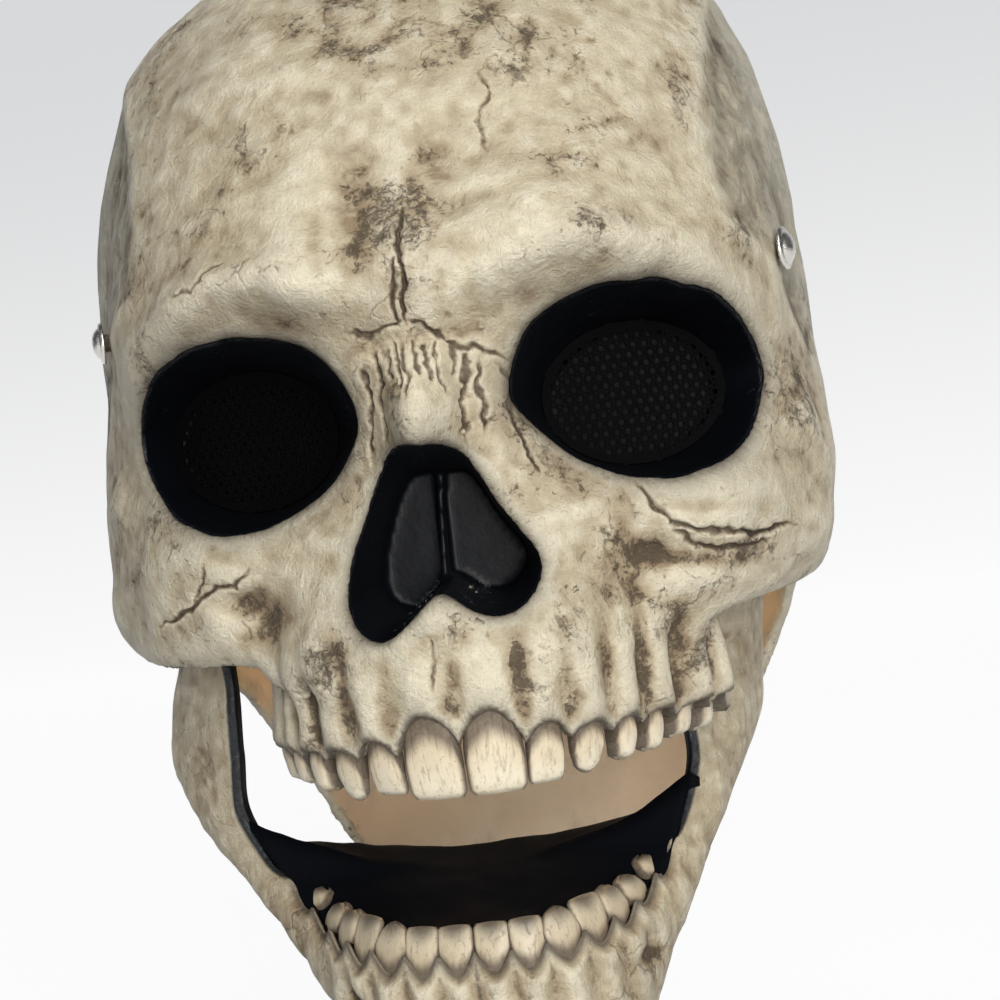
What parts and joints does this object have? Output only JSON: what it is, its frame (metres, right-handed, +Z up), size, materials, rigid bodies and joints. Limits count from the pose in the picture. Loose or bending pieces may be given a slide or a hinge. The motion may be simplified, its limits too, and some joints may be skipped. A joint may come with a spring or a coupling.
{
  "type": "skull mask",
  "caption": "Full-head latex skull mask with black mesh eyes, bared teeth and a separate jaw that hangs open from two rivets at the temples.",
  "frame": {"origin": "inside of the crown, where the mask rests on the top of the head", "axes": "+Z up, -Y is where the face looks, +X is on the viewer's right"},
  "size_m": [0.1916, 0.2545, 0.3099],
  "materials": {
    "aged_bone": "moulded latex painted as aged bone, black gloss paint in the sockets and nose, bare cream latex inside",
    "aged_bone_jaw": "the same painted latex, black gloss paint behind the lower teeth",
    "black_mesh": "black perforated sheet with fine holes",
    "rivet_metal": "dull nickel-plated dome"
  },
  "bodies": {
    "skull": {"skull_shell": "aged_bone", "eye_mesh_left": "black_mesh", "eye_mesh_right": "black_mesh", "rivet_left": "rivet_metal", "rivet_right": "rivet_metal"},
    "jaw": {"jaw_shell": "aged_bone_jaw"}
  },
  "joints": [
    {"name": "jaw_hinge", "type": "hinge", "parent": "skull", "child": "jaw", "pos_m": [0, -0.0524, -0.1055], "axis": [1, 0, 0], "range_deg": [-6, 10]}
  ]
}
